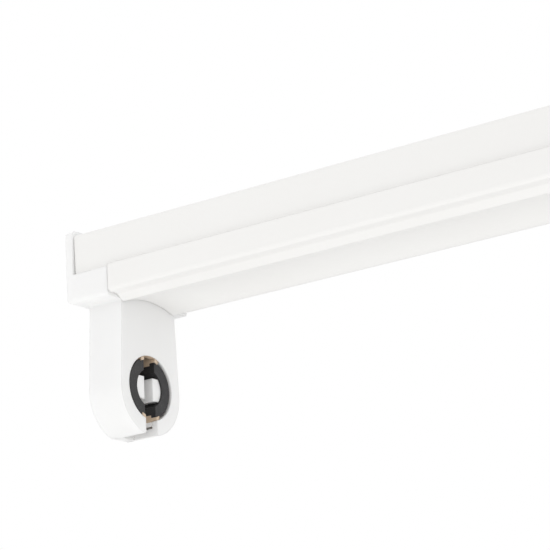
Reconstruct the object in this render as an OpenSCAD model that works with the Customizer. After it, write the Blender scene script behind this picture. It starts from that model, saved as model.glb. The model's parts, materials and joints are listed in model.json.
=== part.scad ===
// Open batten for one T8 lamp: a folded base channel, a clipped cover with two ridges
// and, at each end, a moulded cap whose lampholder hangs below the cover.
// X runs along the fixture, Z = 0 is the ceiling and the fixture hangs towards -Z.

/* [Lamp] */
// Distance between the faces of the two lampholders: a 600 mm lamp is 589.8 mm between cap faces
lamp_gap = 591; // [436:1:1500]
// Distance between the centres of the two pins of a lamp cap
pin_pitch = 12.7; // [12.5:0.05:12.9]
// Diameter of a lamp cap's pins
pin_d = 2.35; // [2.29:0.01:2.5]
// Length of a lamp cap's pins
pin_length = 7.6; // [7:0.1:8]
// Depth of the lamp's axis below the ceiling
lamp_axis_depth = 42.2; // [40:0.1:60]

/* [Base channel] */
// Width of the base channel over its walls
base_w = 31.6; // [30:0.1:60]
// Thickness of the folded steel sheet
sheet_t = 0.5; // [0.4:0.05:0.8]
// Depth of the base channel's walls below the ceiling
base_depth = 14.9; // [13.8:0.1:15.5]
// Width of the lip that is turned in along each wall of the base channel
base_lip = 2.6; // [1.5:0.1:4]
// Bend radius on the outside of the sheet
bend_r = 0.9; // [0.85:0.05:1.2]
// Height of the embossed pads that stand against the ceiling
pad_rise = 1.2; // [0.9:0.05:1.6]
// Radius of the flat top of a pad
pad_r = 9; // [7.5:0.25:10]

/* [Ceiling fixing] */
// Distance between the centres of the two screw slots
screw_pitch = 400; // [300:1:400]
// Width of a screw slot
screw_slot_w = 4.5; // [4:0.1:5.5]
// Length of a screw slot from end to end
screw_slot_l = 12; // [8:0.5:13]
// Distance from the middle of the fixture to the cable entry
cable_x = 62; // [50:1:90]
// Diameter of the hole in the cable grommet
cable_d = 11; // [8:0.5:12]

/* [Cover] */
// Depth of the cover's top edge below the ceiling
joint_depth = 11.6; // [11:0.1:12.2]
// Gap between the cover's walls and the base channel's walls
cover_gap = 0.1; // [0.05:0.05:0.2]
// Depth of the ledge between the cover's wall and its ridge
ledge_depth = 19; // [18.6:0.1:19.6]
// Width of that ledge
ledge_w = 3.4; // [2.5:0.1:4]
// Depth of the ridges, the lowest lines of the cover
ridge_depth = 20.5; // [20:0.1:22]
// Distance of each ridge from the middle of the cover
ridge_y = 10.3; // [9.5:0.1:10.8]
// Height of the arch between the ridges
arch_rise = 1.6; // [1:0.1:2.5]
// Gap between the cover's ends and the end caps
cover_end_gap = 0.1; // [0.05:0.05:0.4]

/* [End cap] */
// Thickness of the end plate at the ceiling
plate_t = 2.6; // [2.4:0.1:3.5]
// How far the end plate's outer face leans in from the ceiling to the underside
plate_lean = 0.6; // [0.1:0.1:1]
// Length of the end cap from its outer face to the lampholder's face
cap_l = 14.25; // [13.8:0.05:16]
// Depth of the end cap's underside below the ceiling
cap_depth = 19.9; // [19:0.1:20.4]
// Thickness of the end cap's collar
collar_t = 1.5; // [1.2:0.1:2]
// Step from the cover's top edge down to the collar's top edge
collar_step = 0.6; // [0.2:0.1:1]
// Radius of the end cap's corners at the ceiling
cap_edge_r = 1.5; // [0.8:0.1:2]
// Radius of the end cap's lower edges
cap_low_r = 1; // [0.5:0.1:1.4]
// Radius of the end plate's upright edges
plate_edge_r = 0.6; // [0.3:0.1:1]
// Gap between the base channel's end and the end plate, at the ceiling
base_end_gap = 0.15; // [0.1:0.05:0.5]
// How much more that gap opens down the wall
base_end_relief = 0.3; // [0:0.05:0.8]

/* [Lampholder] */
// Step from the end plate's inner face to the lampholder's back
holder_step = 0.7; // [0.3:0.1:1]
// Width of the lampholder where it leaves the collar
holder_top_w = 21.5; // [20.5:0.1:23]
// Width of the lampholder at the rotor
holder_w = 23.7; // [23.2:0.1:26]
// Depth of the lampholder's flat bottom below the lamp's axis
holder_bottom = 12.3; // [11.9:0.1:12.6]
// Wall of the lampholder's housing
shell_t = 1.3; // [1:0.05:1.4]
// Thickness of the lampholder's front wall
face_t = 1.8; // [1.4:0.05:2]
// Thickness of the lampholder's rear cover
back_t = 1.4; // [1.2:0.1:1.6]
// Width of the slot where the pins go in
entry_w = 4.6; // [4.3:0.1:5]
// Width of the slot in the fixed core
core_slot_w = 3.4; // [3.1:0.1:3.8]
// Height of the core between its two flats
core_h = 6.1; // [5:0.1:7]
// How far the core's face lies behind the rotor's face
core_setback = 0.4; // [0.2:0.05:1]

/* [Rotor] */
// Width of the rotor's face outside the ring that the pins run in
rotor_rim = 0.575; // [0.5:0.025:0.8]
// How far the rotor's face lies behind the lampholder's face
rotor_setback = 0.35; // [0.1:0.05:0.6]
// Width of the slot across the rotor
rotor_slot_w = 4.3; // [3.8:0.1:4.5]
// Wall of the rotor's sleeve
sleeve_t = 1.2; // [1:0.05:1.4]
// How far the carrier's flange, which holds the rotor in, stands out past the rotor
carrier_lip = 1.8; // [1.2:0.1:2]
// How far the carrier's ears reach out to each side of the slot
ear_w = 1.2; // [0.8:0.1:1.6]
// Thickness of the carrier's flange
carrier_flange_t = 2.2; // [1.8:0.1:2.6]

/* [Contacts] */
// Thickness of the bronze contact strips
contact_t = 0.4; // [0.3:0.05:0.5]
// Width of a contact strip
contact_w = 3.4; // [2.8:0.1:3.6]

/* [Terminal block] */
// Length of the terminal block along the fixture
block_l = 20; // [18:0.5:26]
// Width of the terminal block
block_w = 19; // [18:0.5:22]
// Height of the terminal block
block_h = 10.5; // [9.5:0.5:12]
// Outer diameter of the internal wires
wire_d = 2.2; // [1.8:0.1:2.4]

/* [Cover clips] */
// Distance of each cover clip from the middle of the fixture
clip_x = 140; // [110:1:150]
// Width of a cover clip
clip_w = 10; // [8:0.5:14]
// Thickness of a cover clip
clip_t = 0.5; // [0.4:0.05:0.6]

/* [Hidden] */

$fn = 64;
EPS = 0.01;

// Clearances
seat_gap = 0.1;
bearing_gap = 0.08;
rotor_gap = 0.55;
pin_gap = 0.175;
contact_bite = 0.225;
contact_gap = 0.3;
lip_gap = 0.15;

// Overall
cap_face_x = lamp_gap / 2;
length = 2 * (cap_face_x + cap_l);
web_top = -pad_rise;
web_under = web_top - sheet_t;
cover_w = base_w + 2 * (sheet_t + cover_gap);
cover_l = 2 * (cap_face_x - cover_end_gap);
base_end = length / 2 - plate_t - base_end_gap;
collar_top = -joint_depth - collar_step;
lamp_z = -lamp_axis_depth;

// Positions along an end cap, counted from its outer face
holder_x = plate_t + holder_step;
back_x = holder_x + back_t;
face_in_x = cap_l - face_t;
rotor_face_x = cap_l - rotor_setback;
carrier_x = face_in_x - seat_gap;
slot_floor_x = rotor_face_x - pin_length - 0.15;
core_face_x = rotor_face_x - core_setback;

// Radii about the lamp's axis
core_r = (pin_pitch - pin_d) / 2 - pin_gap;
bore_r = core_r + bearing_gap;
carrier_r = (pin_pitch + pin_d) / 2 - contact_bite;
sleeve_r = bore_r + sleeve_t;
rotor_r = (pin_pitch + pin_d) / 2 + rotor_rim;
carrier_flange_r = rotor_r + carrier_lip;
opening_r = rotor_r + rotor_gap;
collar_r = carrier_r - 0.3;
ear_in_r = carrier_r + 0.4;
ear_out_r = opening_r - seat_gap;
ear_face_x = cap_l - seat_gap;
ear_half_w = rotor_slot_w / 2 + ear_w;
ear_gap = 0.05;

// Contacts
contact_back_x = carrier_x - carrier_flange_t - contact_gap - contact_w;
contact_y = carrier_r + contact_gap;
tail_y = 4;
tail_z = -cap_depth + 5.5;

// Screws
cap_screw_x = cap_l / 2 + 1.3;
cap_screw_y = base_w / 2 - 5.2;
cap_screw_r = 1.45;
cap_screw_l = 9;
cap_boss_r = 2.7;
head_h = 0.9;
earth_x = -34;
earth_y = base_w / 2 - 7.5;
earth_screw_r = 2;
lug_t = 0.8;
block_screw_r = 1.5;

// Rounds the corners of a path. Each corner is [y, z, radius], and a radius of 0 keeps it sharp.
function corner_points(a, b, c, r) =
    let (
        u = ([a.x, a.y] - [b.x, b.y]) / norm([a.x, a.y] - [b.x, b.y]),
        v = ([c.x, c.y] - [b.x, b.y]) / norm([c.x, c.y] - [b.x, b.y]),
        half = acos(u * v) / 2,
        centre = [b.x, b.y] + (u + v) / norm(u + v) * r / sin(half),
        from = [b.x, b.y] + u * r / tan(half) - centre,
        to = [b.x, b.y] + v * r / tan(half) - centre,
        start = atan2(from.y, from.x),
        turn = (atan2(to.y, to.x) - start + 540) % 360 - 180,
        steps = max(2, ceil(abs(turn) / 15))
    )
    [for (i = [0 : steps]) centre + r * [cos(start + turn * i / steps), sin(start + turn * i / steps)]];

function rounded_path(corners) = [
    for (i = [0 : len(corners) - 1])
        each (corners[i][2] == 0 || i == 0 || i == len(corners) - 1)
            ? [[corners[i].x, corners[i].y]]
            : corner_points(corners[i - 1], corners[i], corners[i + 1], corners[i][2])
];

function rounded_loop(corners) = [
    for (i = [0 : len(corners) - 1])
        each corners[i][2] == 0
            ? [[corners[i].x, corners[i].y]]
            : corner_points(
                corners[(i + len(corners) - 1) % len(corners)], corners[i],
                corners[(i + 1) % len(corners)], corners[i][2])
];

// Moves a path sideways by d, to the left of its direction
function unit(v) = v / norm(v);
function left_of(v) = [-v.y, v.x];
function side_path(path, d) = [
    for (i = [0 : len(path) - 1])
        let (
            before = unit(path[max(i, 1)] - path[max(i, 1) - 1]),
            after = unit(path[min(i + 1, len(path) - 1)] - path[min(i, len(path) - 2)]),
            side = unit(left_of(before) + left_of(after))
        )
        path[i] + side * d / (side * left_of(after))
];
function mirrored(path) = [for (i = [len(path) - 1 : -1 : 0]) [-path[i].x, path[i].y]];
function reversed(path) = [for (i = [len(path) - 1 : -1 : 0]) path[i]];
function strip(path, t) = concat(path, reversed(side_path(path, t)));

cover_bend = 1.1;
ledge_bend = 1.2;
ridge_bend = 0.9;
ridge_half = 1.2;
ridge_flat = 0.12;
arch_foot = 0.2;

// Cover: the arch is an arc through the two ridges, and meets them along its tangents
arch_half = ridge_y - ridge_half;
arch_r = (arch_half * arch_half + arch_rise * arch_rise) / (2 * arch_rise);
arch_top = arch_rise - ridge_depth + arch_foot;
arch_angle = asin(arch_half / arch_r);
arch = [for (i = [-12 : 12]) let (a = arch_angle * i / 12)
    [arch_r * sin(a), arch_top - arch_r * (1 - cos(a))]];
cover_side = [
    [cover_w / 2, -joint_depth, 0],
    [cover_w / 2, -ledge_depth, cover_bend],
    [cover_w / 2 - ledge_w, -ledge_depth, ledge_bend],
    [ridge_y, -ridge_depth - ridge_flat, ridge_bend],
    [arch[24].x, arch[24].y, 0]
];
cover_half = rounded_path(cover_side);
cover_path = concat(
    [for (p = cover_half) [-p.x, p.y]], [for (i = [1 : len(arch) - 2]) arch[i]], reversed(cover_half));

// Base channel, from the middle of its web out to its lip
base_half = rounded_path([
    [0, web_top, 0],
    [base_w / 2, web_top, bend_r],
    [base_w / 2, -base_depth, bend_r],
    [base_w / 2 - base_lip, -base_depth, 0]
]);

// Lays a profile drawn in Y and Z along X
module along_x(x0, x1) {
    translate([x0, 0, 0])
        rotate([90, 0, 90])
            linear_extrude(x1 - x0) children();
}

// A round piece about an axis along X
module disc_x(x0, x1, r, z = lamp_z) {
    translate([x0, 0, z])
        rotate([0, 90, 0]) cylinder(h = x1 - x0, r = r);
}

module block(low, high) {
    translate(low) cube(high - low);
}

// A slot through Z with round ends, running along X
module slot_z(x, l, w, z0, z1) {
    translate([x, 0, z0])
        linear_extrude(z1 - z0) {
            square([l - w, w], center = true);
            for (side = [-1, 1]) translate([side * (l - w) / 2, 0]) circle(d = w);
        }
}

// Places an end's pieces: they are drawn from the outer face inwards, along +X
module at_end(side) {
    translate([side * length / 2, 0, 0])
        rotate([0, 0, side > 0 ? 180 : 0]) children();
}

// Base channel
pad_flare = 1.2;

module pad(x) {
    translate([x, 0, web_under]) difference() {
        cylinder(h = -web_under, r1 = pad_r + pad_flare, r2 = pad_r);
        translate([0, 0, -EPS])
            cylinder(h = pad_rise + EPS, r1 = pad_r + pad_flare - sheet_t, r2 = pad_r - sheet_t);
    }
}

module wall_ends() {
    notch = length / 2 - cap_l - cover_end_gap;
    for (side = [-1, 1]) scale([side, 1, 1]) {
        block([notch, -base_w, -base_depth - 1], [length, base_w, collar_top + seat_gap]);
        rotate([90, 0, 0])
            linear_extrude(2 * base_w, center = true)
                polygon([
                    [base_end, web_under - bend_r - 1.5],
                    [base_end + 1, web_under - bend_r - 1.5],
                    [base_end + 1, collar_top - 1],
                    [base_end - base_end_relief, collar_top]
                ]);
    }
}

module base_channel() {
    color("white") difference() {
        union() {
            difference() {
                along_x(-base_end, base_end)
                    polygon(concat(mirrored(base_half), base_half,
                        side_path(reversed(base_half), sheet_t),
                        mirrored(side_path(reversed(base_half), sheet_t))));
                for (side = [-1, 1])
                    translate([side * screw_pitch / 2, 0, web_under - 1])
                        cylinder(h = 3, r = pad_r + pad_flare - 0.9 * sheet_t);
            }
            for (side = [-1, 1]) pad(side * screw_pitch / 2);
        }
        for (side = [-1, 1])
            slot_z(side * screw_pitch / 2, screw_slot_l, screw_slot_w, -sheet_t - 1, 1);
        wall_ends();
        translate([cable_x, 0, web_under - 1]) cylinder(h = 3, r = grommet_neck_r + seat_gap);
        translate([earth_x, earth_y, web_under - 1]) cylinder(h = 3, r = earth_screw_r + seat_gap);
        translate([0, 0, web_under - 1]) cylinder(h = 3, r = block_screw_r + seat_gap);
        for (side = [-1, 1], y = [-1, 1])
            translate([side * clip_x, y * rivet_y, web_under - 1]) cylinder(h = 3, r = rivet_r);
        for (side = [-1, 1], y = [-1, 1])
            translate([side * (length / 2 - cap_screw_x), y * cap_screw_y, web_under - 1])
                cylinder(h = 3, r = cap_screw_r + seat_gap);
    }
}

// Cover
dimple_r = (ledge_depth - cover_bend - base_depth - clip_t - 2 * lip_gap) / 2;
dimple_z = -base_depth - lip_gap - dimple_r;
dimple_depth = 0.45;

// A dimple pressed into the cover's walls: the cone stands dimple_depth behind the skin
module dimple(side, y, skin) {
    translate([side * clip_x, y * (cover_w / 2 - skin), dimple_z])
        rotate([y * 90, 0, 0]) {
            cylinder(h = dimple_depth, r1 = dimple_r, r2 = dimple_r / 2);
            translate([0, 0, -skin / 2]) cylinder(h = skin / 2 + EPS, r = dimple_r);
        }
}

module cover() {
    color("white") difference() {
        union() {
            along_x(-cover_l / 2, cover_l / 2) polygon(strip(cover_path, sheet_t));
            for (side = [-1, 1], y = [-1, 1]) dimple(side, y, sheet_t);
        }
        for (side = [-1, 1], y = [-1, 1]) dimple(side, y, 0);
    }
}

// End cap
module cap_envelope() {
    intersection() {
        along_x(0, cap_l)
            polygon(rounded_loop([
                [-cover_w / 2, 0, cap_edge_r], [cover_w / 2, 0, cap_edge_r],
                [cover_w / 2, -cap_depth, cap_low_r], [-cover_w / 2, -cap_depth, cap_low_r]
            ]));
        rotate([90, 0, 0])
            linear_extrude(2 * cover_w, center = true)
                polygon(rounded_loop([
                    [0, 0, cap_edge_r], [cap_l, 0, 0],
                    [cap_l, -cap_depth, 0], [plate_lean, -cap_depth, cap_low_r]
                ]));
        translate([0, 0, -cap_depth])
            linear_extrude(2 * cap_depth)
                polygon(rounded_loop([
                    [0, -cover_w / 2, plate_edge_r], [cap_l, -cover_w / 2, 0],
                    [cap_l, cover_w / 2, 0], [0, cover_w / 2, plate_edge_r]
                ]));
    }
}

// The lampholder's outline, drawn in by inset: flared sides and a half round cut flat
round_drop = 0.85;
root_r = 0.8;
channel_t = 1;

module holder_outline(inset, top_z) {
    half_top = holder_top_w / 2 - inset;
    half = holder_w / 2 - inset;
    round_z = lamp_z - round_drop;
    intersection() {
        union() {
            polygon([[-half_top, top_z], [half_top, top_z], [half_top, -cap_depth],
                [half, round_z], [-half, round_z], [-half_top, -cap_depth]]);
            translate([0, round_z]) circle(r = half);
        }
        translate([-holder_w, lamp_z - holder_bottom + inset])
            square([2 * holder_w, 2 * lamp_axis_depth]);
    }
}

module holder_root() {
    for (side = [-1, 1]) scale([side, 1])
        difference() {
            translate([holder_top_w / 2 - 0.1, -cap_depth - root_r]) square(root_r + 0.1);
            translate([holder_top_w / 2 + root_r, -cap_depth - root_r]) circle(r = root_r);
        }
}

module entry_channel() {
    top_z = lamp_z - carrier_flange_r - contact_gap;
    difference() {
        block([slot_floor_x - channel_t, -entry_w / 2 - channel_t, lamp_z - holder_bottom + 0.2],
            [face_in_x + 0.2, entry_w / 2 + channel_t, top_z]);
        block([slot_floor_x, -entry_w / 2, lamp_z - holder_bottom - 1],
            [cap_l + 1, entry_w / 2, top_z + 1]);
    }
}

module contact_seats() {
    front_x = contact_back_x + contact_w + 0.05;
    for (side = [-1, 1]) scale([1, side, 1])
        block([front_x, holder_top_w / 2 - shell_t - 2.4, -cap_depth - 7.5],
            [face_in_x + 0.2, holder_top_w / 2 - shell_t + 0.1, -cap_depth - 3.5]);
}

module end_cap() {
    color("white") difference() {
        union() {
            difference() {
                cap_envelope();
                block([plate_t, -cover_w, collar_top], [cap_l + 1, cover_w, 1]);
                block([plate_t, -cover_w / 2 + collar_t, -cap_depth + collar_t],
                    [cap_l + 1, cover_w / 2 - collar_t, 1]);
            }
            collar_tongues();
            for (side = [-1, 1]) cap_boss(side);
            difference() {
                along_x(holder_x, cap_l) {
                    holder_outline(0, -cap_depth + 0.5);
                    holder_root();
                }
                along_x(plate_t - 1, face_in_x) holder_outline(shell_t, -cap_depth);
            }
            entry_channel();
            contact_seats();
        }
        block([back_x + 0.2, -holder_top_w / 2 + shell_t + 1.5, -cap_depth - 0.5],
            [face_in_x - 0.3, holder_top_w / 2 - shell_t - 1.5, -cap_depth + collar_t + 1]);
        disc_x(face_in_x - 1, cap_l + 1, opening_r);
        block([slot_floor_x, -entry_w / 2, lamp_z - holder_bottom - 1],
            [cap_l + 1, entry_w / 2, lamp_z - rotor_r]);
        block([holder_x - 1, -latch_w / 2 - 0.3, lamp_z - holder_bottom - 1],
            [slot_floor_x - channel_t, latch_w / 2 + 0.3, lamp_z - holder_bottom + shell_t + EPS]);
        for (side = [-1, 1])
            translate([cap_screw_x, side * cap_screw_y, -cap_depth + collar_t + 2])
                cylinder(h = cap_depth, r = cap_screw_r - 0.35);
    }
}

// Tongues on the collar that reach up inside the base channel's walls
module collar_tongues() {
    outer = base_w / 2 - sheet_t - seat_gap;
    for (side = [-1, 1]) scale([1, side, 1])
        block([plate_t - EPS, outer - 1.4, -cap_depth + collar_t - EPS],
            [cap_l - 1, outer, collar_top + 5]);
}

module cap_boss(side) {
    translate([cap_screw_x, side * cap_screw_y, -cap_depth + collar_t / 2])
        cylinder(h = cap_depth - collar_t / 2 + web_under - seat_gap, r = cap_boss_r);
}

// Rear cover of a lampholder, with the fixed core that the rotor turns on
latch_w = 5.4;

module holder_back() {
    color("white") difference() {
        union() {
            along_x(holder_x, back_x) intersection() {
                holder_outline(shell_t + seat_gap, -cap_depth - seat_gap);
                translate([-holder_w, lamp_z - 20])
                    square([2 * holder_w, lamp_axis_depth - cap_depth + 20 - seat_gap]);
            }
            intersection() {
                disc_x(back_x - EPS, core_face_x, core_r);
                block([0, -10, lamp_z - core_h / 2], [cap_l + 1, 10, lamp_z + core_h / 2]);
            }
            disc_x(back_x - EPS, back_x + seat_gap, core_r);
            block([holder_x, -latch_w / 2, lamp_z - holder_bottom + 0.1],
                [slot_floor_x - channel_t - seat_gap, latch_w / 2, lamp_z - holder_bottom + shell_t + 0.3]);
        }
        block([slot_floor_x - 0.3, -core_slot_w / 2, lamp_z - 10],
            [cap_l + 1, core_slot_w / 2, lamp_z + 10]);
    }
}

// Rotor: a black face with a sleeve that turns on the core
module pin_slot(w) {
    block([slot_floor_x, -w / 2, lamp_z - 12], [cap_l + 2, w / 2, lamp_z + 12]);
}

// Where the carrier's ears stand, outside the rotor's face at both ends of the slot
module ears(inner_r, outer_r, half_w, x0, x1) {
    intersection() {
        difference() {
            disc_x(x0, x1, outer_r);
            disc_x(x0 - 1, x1 + 1, inner_r);
        }
        block([x0, -half_w, lamp_z - outer_r], [x1, half_w, lamp_z + outer_r]);
    }
}

module rotor() {
    color([0.3, 0.3, 0.3]) difference() {
        union() {
            disc_x(carrier_x, rotor_face_x, rotor_r);
            disc_x(carrier_x - carrier_flange_t, carrier_x + EPS, collar_r);
            disc_x(back_x + contact_gap, carrier_x + EPS, sleeve_r);
        }
        disc_x(back_x, cap_l + 2, bore_r);
        pin_slot(rotor_slot_w);
        ears(ear_in_r - ear_gap, rotor_r + 1, ear_half_w + ear_gap, carrier_x - EPS, cap_l + 1);
    }
}

// Carrier: the tan ring behind the rotor's face, which keeps the rotor in the housing.
// Its ears come forward beside the ends of the slot.
module rotor_carrier() {
    color([0.8, 0.7, 0.58]) difference() {
        union() {
            disc_x(carrier_x - carrier_flange_t, carrier_x, carrier_flange_r);
            disc_x(slot_floor_x - 1.2, carrier_x, carrier_r);
            ears(ear_in_r, ear_out_r, ear_half_w, carrier_x - EPS, ear_face_x);
        }
        disc_x(back_x, cap_l + 2, sleeve_r);
        disc_x(carrier_x - carrier_flange_t, cap_l + 2, collar_r);
        pin_slot(rotor_slot_w);
    }
}

// Bronze contact strips, one each side of the rotor
contact_path = rounded_path([
    [tail_y + contact_t / 2, tail_z, 0],
    [tail_y + contact_t / 2, -cap_depth - 1.6, 0.8],
    [holder_top_w / 2 - shell_t - 1.1, -cap_depth - 3.6, 0.8],
    [holder_w / 2 - shell_t - 1.2, lamp_z + 7.5, 1.5],
    [contact_y + contact_t, lamp_z, 2.5],
    [holder_w / 2 - shell_t - 2, lamp_z - 5.8, 1],
    [holder_w / 2 - shell_t - 3, lamp_z - 7, 0]
]);

module contact(side) {
    color([0.75, 0.55, 0.35])
        along_x(contact_back_x, contact_back_x + contact_w)
            scale([side, 1]) polygon(strip(contact_path, -contact_t));
}

// Screws that hold the end caps to the base channel
module cap_screw() {
    cylinder(h = head_h, r = cap_screw_r * 1.9);
    translate([0, 0, -cap_screw_l]) cylinder(h = cap_screw_l + EPS, r = cap_screw_r - 0.35);
}

module cap_screws() {
    color("silver")
        for (side = [-1, 1], y = [-1, 1])
            translate([side * (length / 2 - cap_screw_x), y * cap_screw_y, web_top]) cap_screw();
}

// Spring clips that hold the cover: their feet press out under the cover's dimples
clip_foot_z = dimple_z - dimple_r - lip_gap - clip_t;
clip_leg_y = base_w / 2 - base_lip - clip_t - 0.8;
clip_foot_y = base_w / 2 + cover_gap - seat_gap;
clip_path = rounded_path([
    [0, web_under - clip_t, 0],
    [clip_leg_y, web_under - clip_t, 1.2],
    [clip_leg_y, clip_foot_z, 0.8],
    [clip_foot_y, clip_foot_z, 0]
]);
rivet_r = 1.6;
rivet_y = 6;

module cover_clip(side) {
    whole = concat(mirrored(clip_path), [for (i = [1 : len(clip_path) - 1]) clip_path[i]]);
    color("silver") difference() {
        along_x(side * clip_x - clip_w / 2, side * clip_x + clip_w / 2)
            polygon(strip(whole, clip_t));
        for (y = [-1, 1])
            translate([side * clip_x, y * rivet_y, web_under - 2]) cylinder(h = 4, r = rivet_r);
    }
}

module rivet() {
    cylinder(h = head_h, r = rivet_r * 1.6);
    translate([0, 0, -sheet_t - clip_t - EPS]) cylinder(h = sheet_t + clip_t + 2 * EPS, r = rivet_r);
    translate([0, 0, -sheet_t - clip_t - 0.9]) cylinder(h = 0.9, r = rivet_r * 1.4);
}

module clip_rivets() {
    color("silver")
        for (side = [-1, 1], y = [-1, 1])
            translate([side * clip_x, y * rivet_y, web_top]) rivet();
}

// Terminal block: three poles side by side, with a tube clamp and two screws in each
pole_pitch = (block_w - 1) / 3;
clamp_r = 2.1;
clamp_z = web_under - block_h / 2 - 0.6;
block_under = web_under - block_h;
terminal_screw_r = 1.25;
terminal_screw_x = block_l / 2 - 4.6;
poles = [-pole_pitch, 0, pole_pitch]; // live, neutral, earth

module terminal_block() {
    color("ivory") difference() {
        block([-block_l / 2, -block_w / 2, block_under], [block_l / 2, block_w / 2, web_under]);
        for (y = poles) {
            translate([-block_l, y, clamp_z]) rotate([0, 90, 0]) cylinder(h = 2 * block_l, r = clamp_r);
            for (side = [-1, 1])
                translate([side * terminal_screw_x, y, block_under - 1])
                    cylinder(h = clamp_z - block_under + 1, r = terminal_screw_r + 0.5);
        }
        for (y = [-1, 1] * pole_pitch / 2)
            block([-block_l, y - 0.35, block_under - 1], [block_l, y + 0.35, block_under + 3]);
        translate([0, 0, clamp_z + clamp_r + 0.6]) cylinder(h = block_h, r = block_screw_r);
    }
}

module terminal_clamps() {
    color("gold")
        for (y = poles) translate([0, y, clamp_z]) difference() {
            rotate([0, 90, 0]) cylinder(h = block_l - 3, r = clamp_r - seat_gap, center = true);
            rotate([0, 90, 0]) cylinder(h = block_l, r = wire_d / 2 + seat_gap, center = true);
            for (side = [-1, 1])
                translate([side * terminal_screw_x, 0, -clamp_r - 1])
                    cylinder(h = clamp_r + 1, r = terminal_screw_r);
        }
}

module terminal_screws() {
    depth = clamp_z - block_under;
    color("silver")
        for (y = poles, side = [-1, 1])
            translate([side * terminal_screw_x, y, block_under + 1]) difference() {
                cylinder(h = depth - 1 - wire_d / 2 - seat_gap, r = terminal_screw_r);
                translate([-3, -0.25, -1]) cube([6, 0.5, 1.6]);
            }
}

module block_screw() {
    color("silver") {
        translate([0, 0, web_top]) cylinder(h = head_h, r = block_screw_r * 1.8);
        translate([0, 0, clamp_z + clamp_r + 0.9])
            cylinder(h = web_top - clamp_z - clamp_r - 0.9 + EPS, r = block_screw_r);
    }
}

// Internal wires, each a tube swept along its route with every corner rounded
wire_sides = 10;
function wire_bend(a, b, c, reach) =
    let (from = b + unit(a - b) * reach, to = b + unit(c - b) * reach)
    [for (i = [0 : 4]) let (t = i / 4) from * (1 - t) * (1 - t) + b * 2 * t * (1 - t) + to * t * t];
function wire_route(points, reach) = [
    points[0],
    for (i = [1 : len(points) - 2]) each wire_bend(points[i - 1], points[i], points[i + 1], reach),
    points[len(points) - 1]
];
function wire_ring(at, heading) =
    let (side = unit(cross(heading, [0, 0, 1])), up = cross(side, heading))
    [for (k = [0 : wire_sides - 1])
        let (a = 360 * k / wire_sides) at + wire_d / 2 * (side * cos(a) + up * sin(a))];

module wire_run(points) {
    route = wire_route(points, 1.5 * wire_d);
    last = len(route) - 1;
    rings = [for (i = [0 : last])
        each wire_ring(route[i], unit(route[min(i + 1, last)] - route[max(i - 1, 0)]))];
    n = wire_sides;
    polyhedron(points = rings, faces = concat(
        [[for (k = [n - 1 : -1 : 0]) k], [for (k = [0 : n - 1]) last * n + k]],
        [for (i = [0 : last - 1], k = [0 : n - 1])
            [i * n + k, i * n + (k + 1) % n, (i + 1) * n + (k + 1) % n, (i + 1) * n + k]]
    ));
}

// The supply wires run along the web, under the cover clips, to the left lampholder
run_z = web_under - clip_t - wire_d / 2 - 0.9;
run_y = rivet_y - rivet_r * 1.4 - wire_d / 2 - contact_gap;
lead_l = 4;
lead_slope_l = 10;
tail_l = 5;
tail_slope_l = 13;
tail_x = -length / 2 + contact_back_x + contact_w / 2;

module supply_wire(pole, side) {
    wire_run([
        [-terminal_screw_x, poles[pole], clamp_z],
        [-block_l / 2 - lead_l, poles[pole], clamp_z],
        [-block_l / 2 - lead_l - lead_slope_l, side * run_y, run_z],
        [tail_x + tail_l + tail_slope_l, side * run_y, run_z],
        [tail_x + tail_l, side * tail_y, tail_z + wire_d / 2],
        [tail_x, side * tail_y, tail_z + wire_d / 2]
    ]);
}

module live_wire() {
    color("brown") supply_wire(0, -1);
}

module neutral_wire() {
    color("royalblue") supply_wire(1, 1);
}

lug_z = web_under - lug_t - wire_d / 2 - 0.2;
lug_x = earth_x + 5.5;
barrel_l = 4;

module earth_wire() {
    color("yellowgreen")
        wire_run([
            [-terminal_screw_x, poles[2], clamp_z],
            [-block_l / 2 - lead_l, poles[2], clamp_z],
            [lug_x + barrel_l + 2 * wire_d, earth_y, lug_z],
            [lug_x + 0.5, earth_y, lug_z]
        ]);
}

// Ring lug of the earth wire: a flat eye and a barrel crimped round the wire
module earth_ring() {
    barrel_r = wire_d / 2 + 0.6;
    color("silver") translate([0, earth_y, 0]) difference() {
        union() {
            translate([earth_x, 0, web_under - lug_t]) cylinder(h = lug_t, r = earth_screw_r * 2);
            block([earth_x + 3, -1.5, web_under - lug_t], [lug_x + barrel_l, 1.5, web_under]);
            translate([lug_x, 0, lug_z]) rotate([0, 90, 0]) cylinder(h = barrel_l, r = barrel_r);
        }
        translate([earth_x, 0, web_under - 5]) cylinder(h = 10, r = earth_screw_r + seat_gap);
        translate([lug_x + 0.5, 0, lug_z]) rotate([0, 90, 0])
            cylinder(h = barrel_l, r = wire_d / 2 + EPS);
    }
}

module earth_screw() {
    head = 2.4;
    color("silver") translate([earth_x, earth_y, web_under - lug_t]) {
        translate([0, 0, -head]) difference() {
            cylinder(h = head, r = earth_screw_r * 1.8);
            translate([-5, -0.45, -1]) cube([10, 0.9, 2]);
        }
        translate([0, 0, -EPS]) cylinder(h = lug_t + sheet_t + head_h, r = earth_screw_r);
    }
}

// Grommet round the supply cable's hole
grommet_neck_r = cable_d / 2 + 1.2;

module cable_grommet() {
    color("dimgray") translate([cable_x, 0, 0]) difference() {
        union() {
            translate([0, 0, web_top]) cylinder(h = head_h, r = grommet_neck_r + 1.6);
            translate([0, 0, web_under - EPS]) cylinder(h = sheet_t + 2 * EPS, r = grommet_neck_r);
            translate([0, 0, web_under - 2]) cylinder(h = 2, r1 = grommet_neck_r + 0.6, r2 = grommet_neck_r + 1.4);
        }
        translate([0, 0, web_under - 3]) cylinder(h = 6, r = cable_d / 2);
    }
}

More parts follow.
